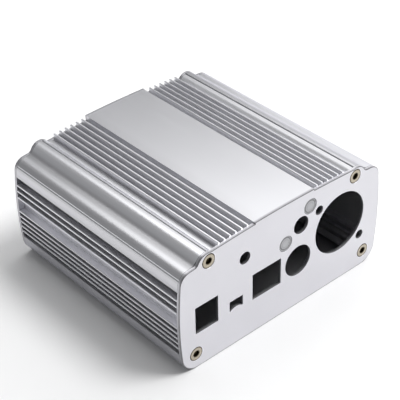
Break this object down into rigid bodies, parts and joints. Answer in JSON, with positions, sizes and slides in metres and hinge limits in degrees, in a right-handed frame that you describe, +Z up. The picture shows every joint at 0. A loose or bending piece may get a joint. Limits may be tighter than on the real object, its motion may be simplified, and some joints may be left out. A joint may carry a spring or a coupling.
{
  "type": "extruded aluminium enclosure",
  "caption": "Low finned enclosure made of an extruded aluminium tube closed by flat end plates, the front one pierced for panel connectors, lamps and controls.",
  "frame": {"origin": "on the underside, below the middle of the enclosure", "axes": "+Z up; +X to the right of someone who faces the front plate; the front plate faces -Y and the extrusion runs along Y"},
  "size_m": [0.0976, 0.093, 0.0481],
  "materials": {
    "aluminium_body": "satin anodised, drawn lines along the length",
    "aluminium_plate": "satin anodised, fine and even",
    "light_window": "translucent grey, smooth",
    "screw_steel": "plain turned steel, slightly warm"
  },
  "bodies": {
    "root": {"extruded_body": "aluminium_body", "front_plate": "aluminium_plate", "rear_plate": "aluminium_plate", "light_window_upper": "light_window", "light_window_lower": "light_window", "front_screw_upper_left": "screw_steel", "front_screw_upper_right": "screw_steel", "front_screw_lower_left": "screw_steel", "front_screw_lower_right": "screw_steel", "rear_screw_upper_left": "screw_steel", "rear_screw_upper_right": "screw_steel", "rear_screw_lower_left": "screw_steel", "rear_screw_lower_right": "screw_steel"}
  },
  "joints": []
}
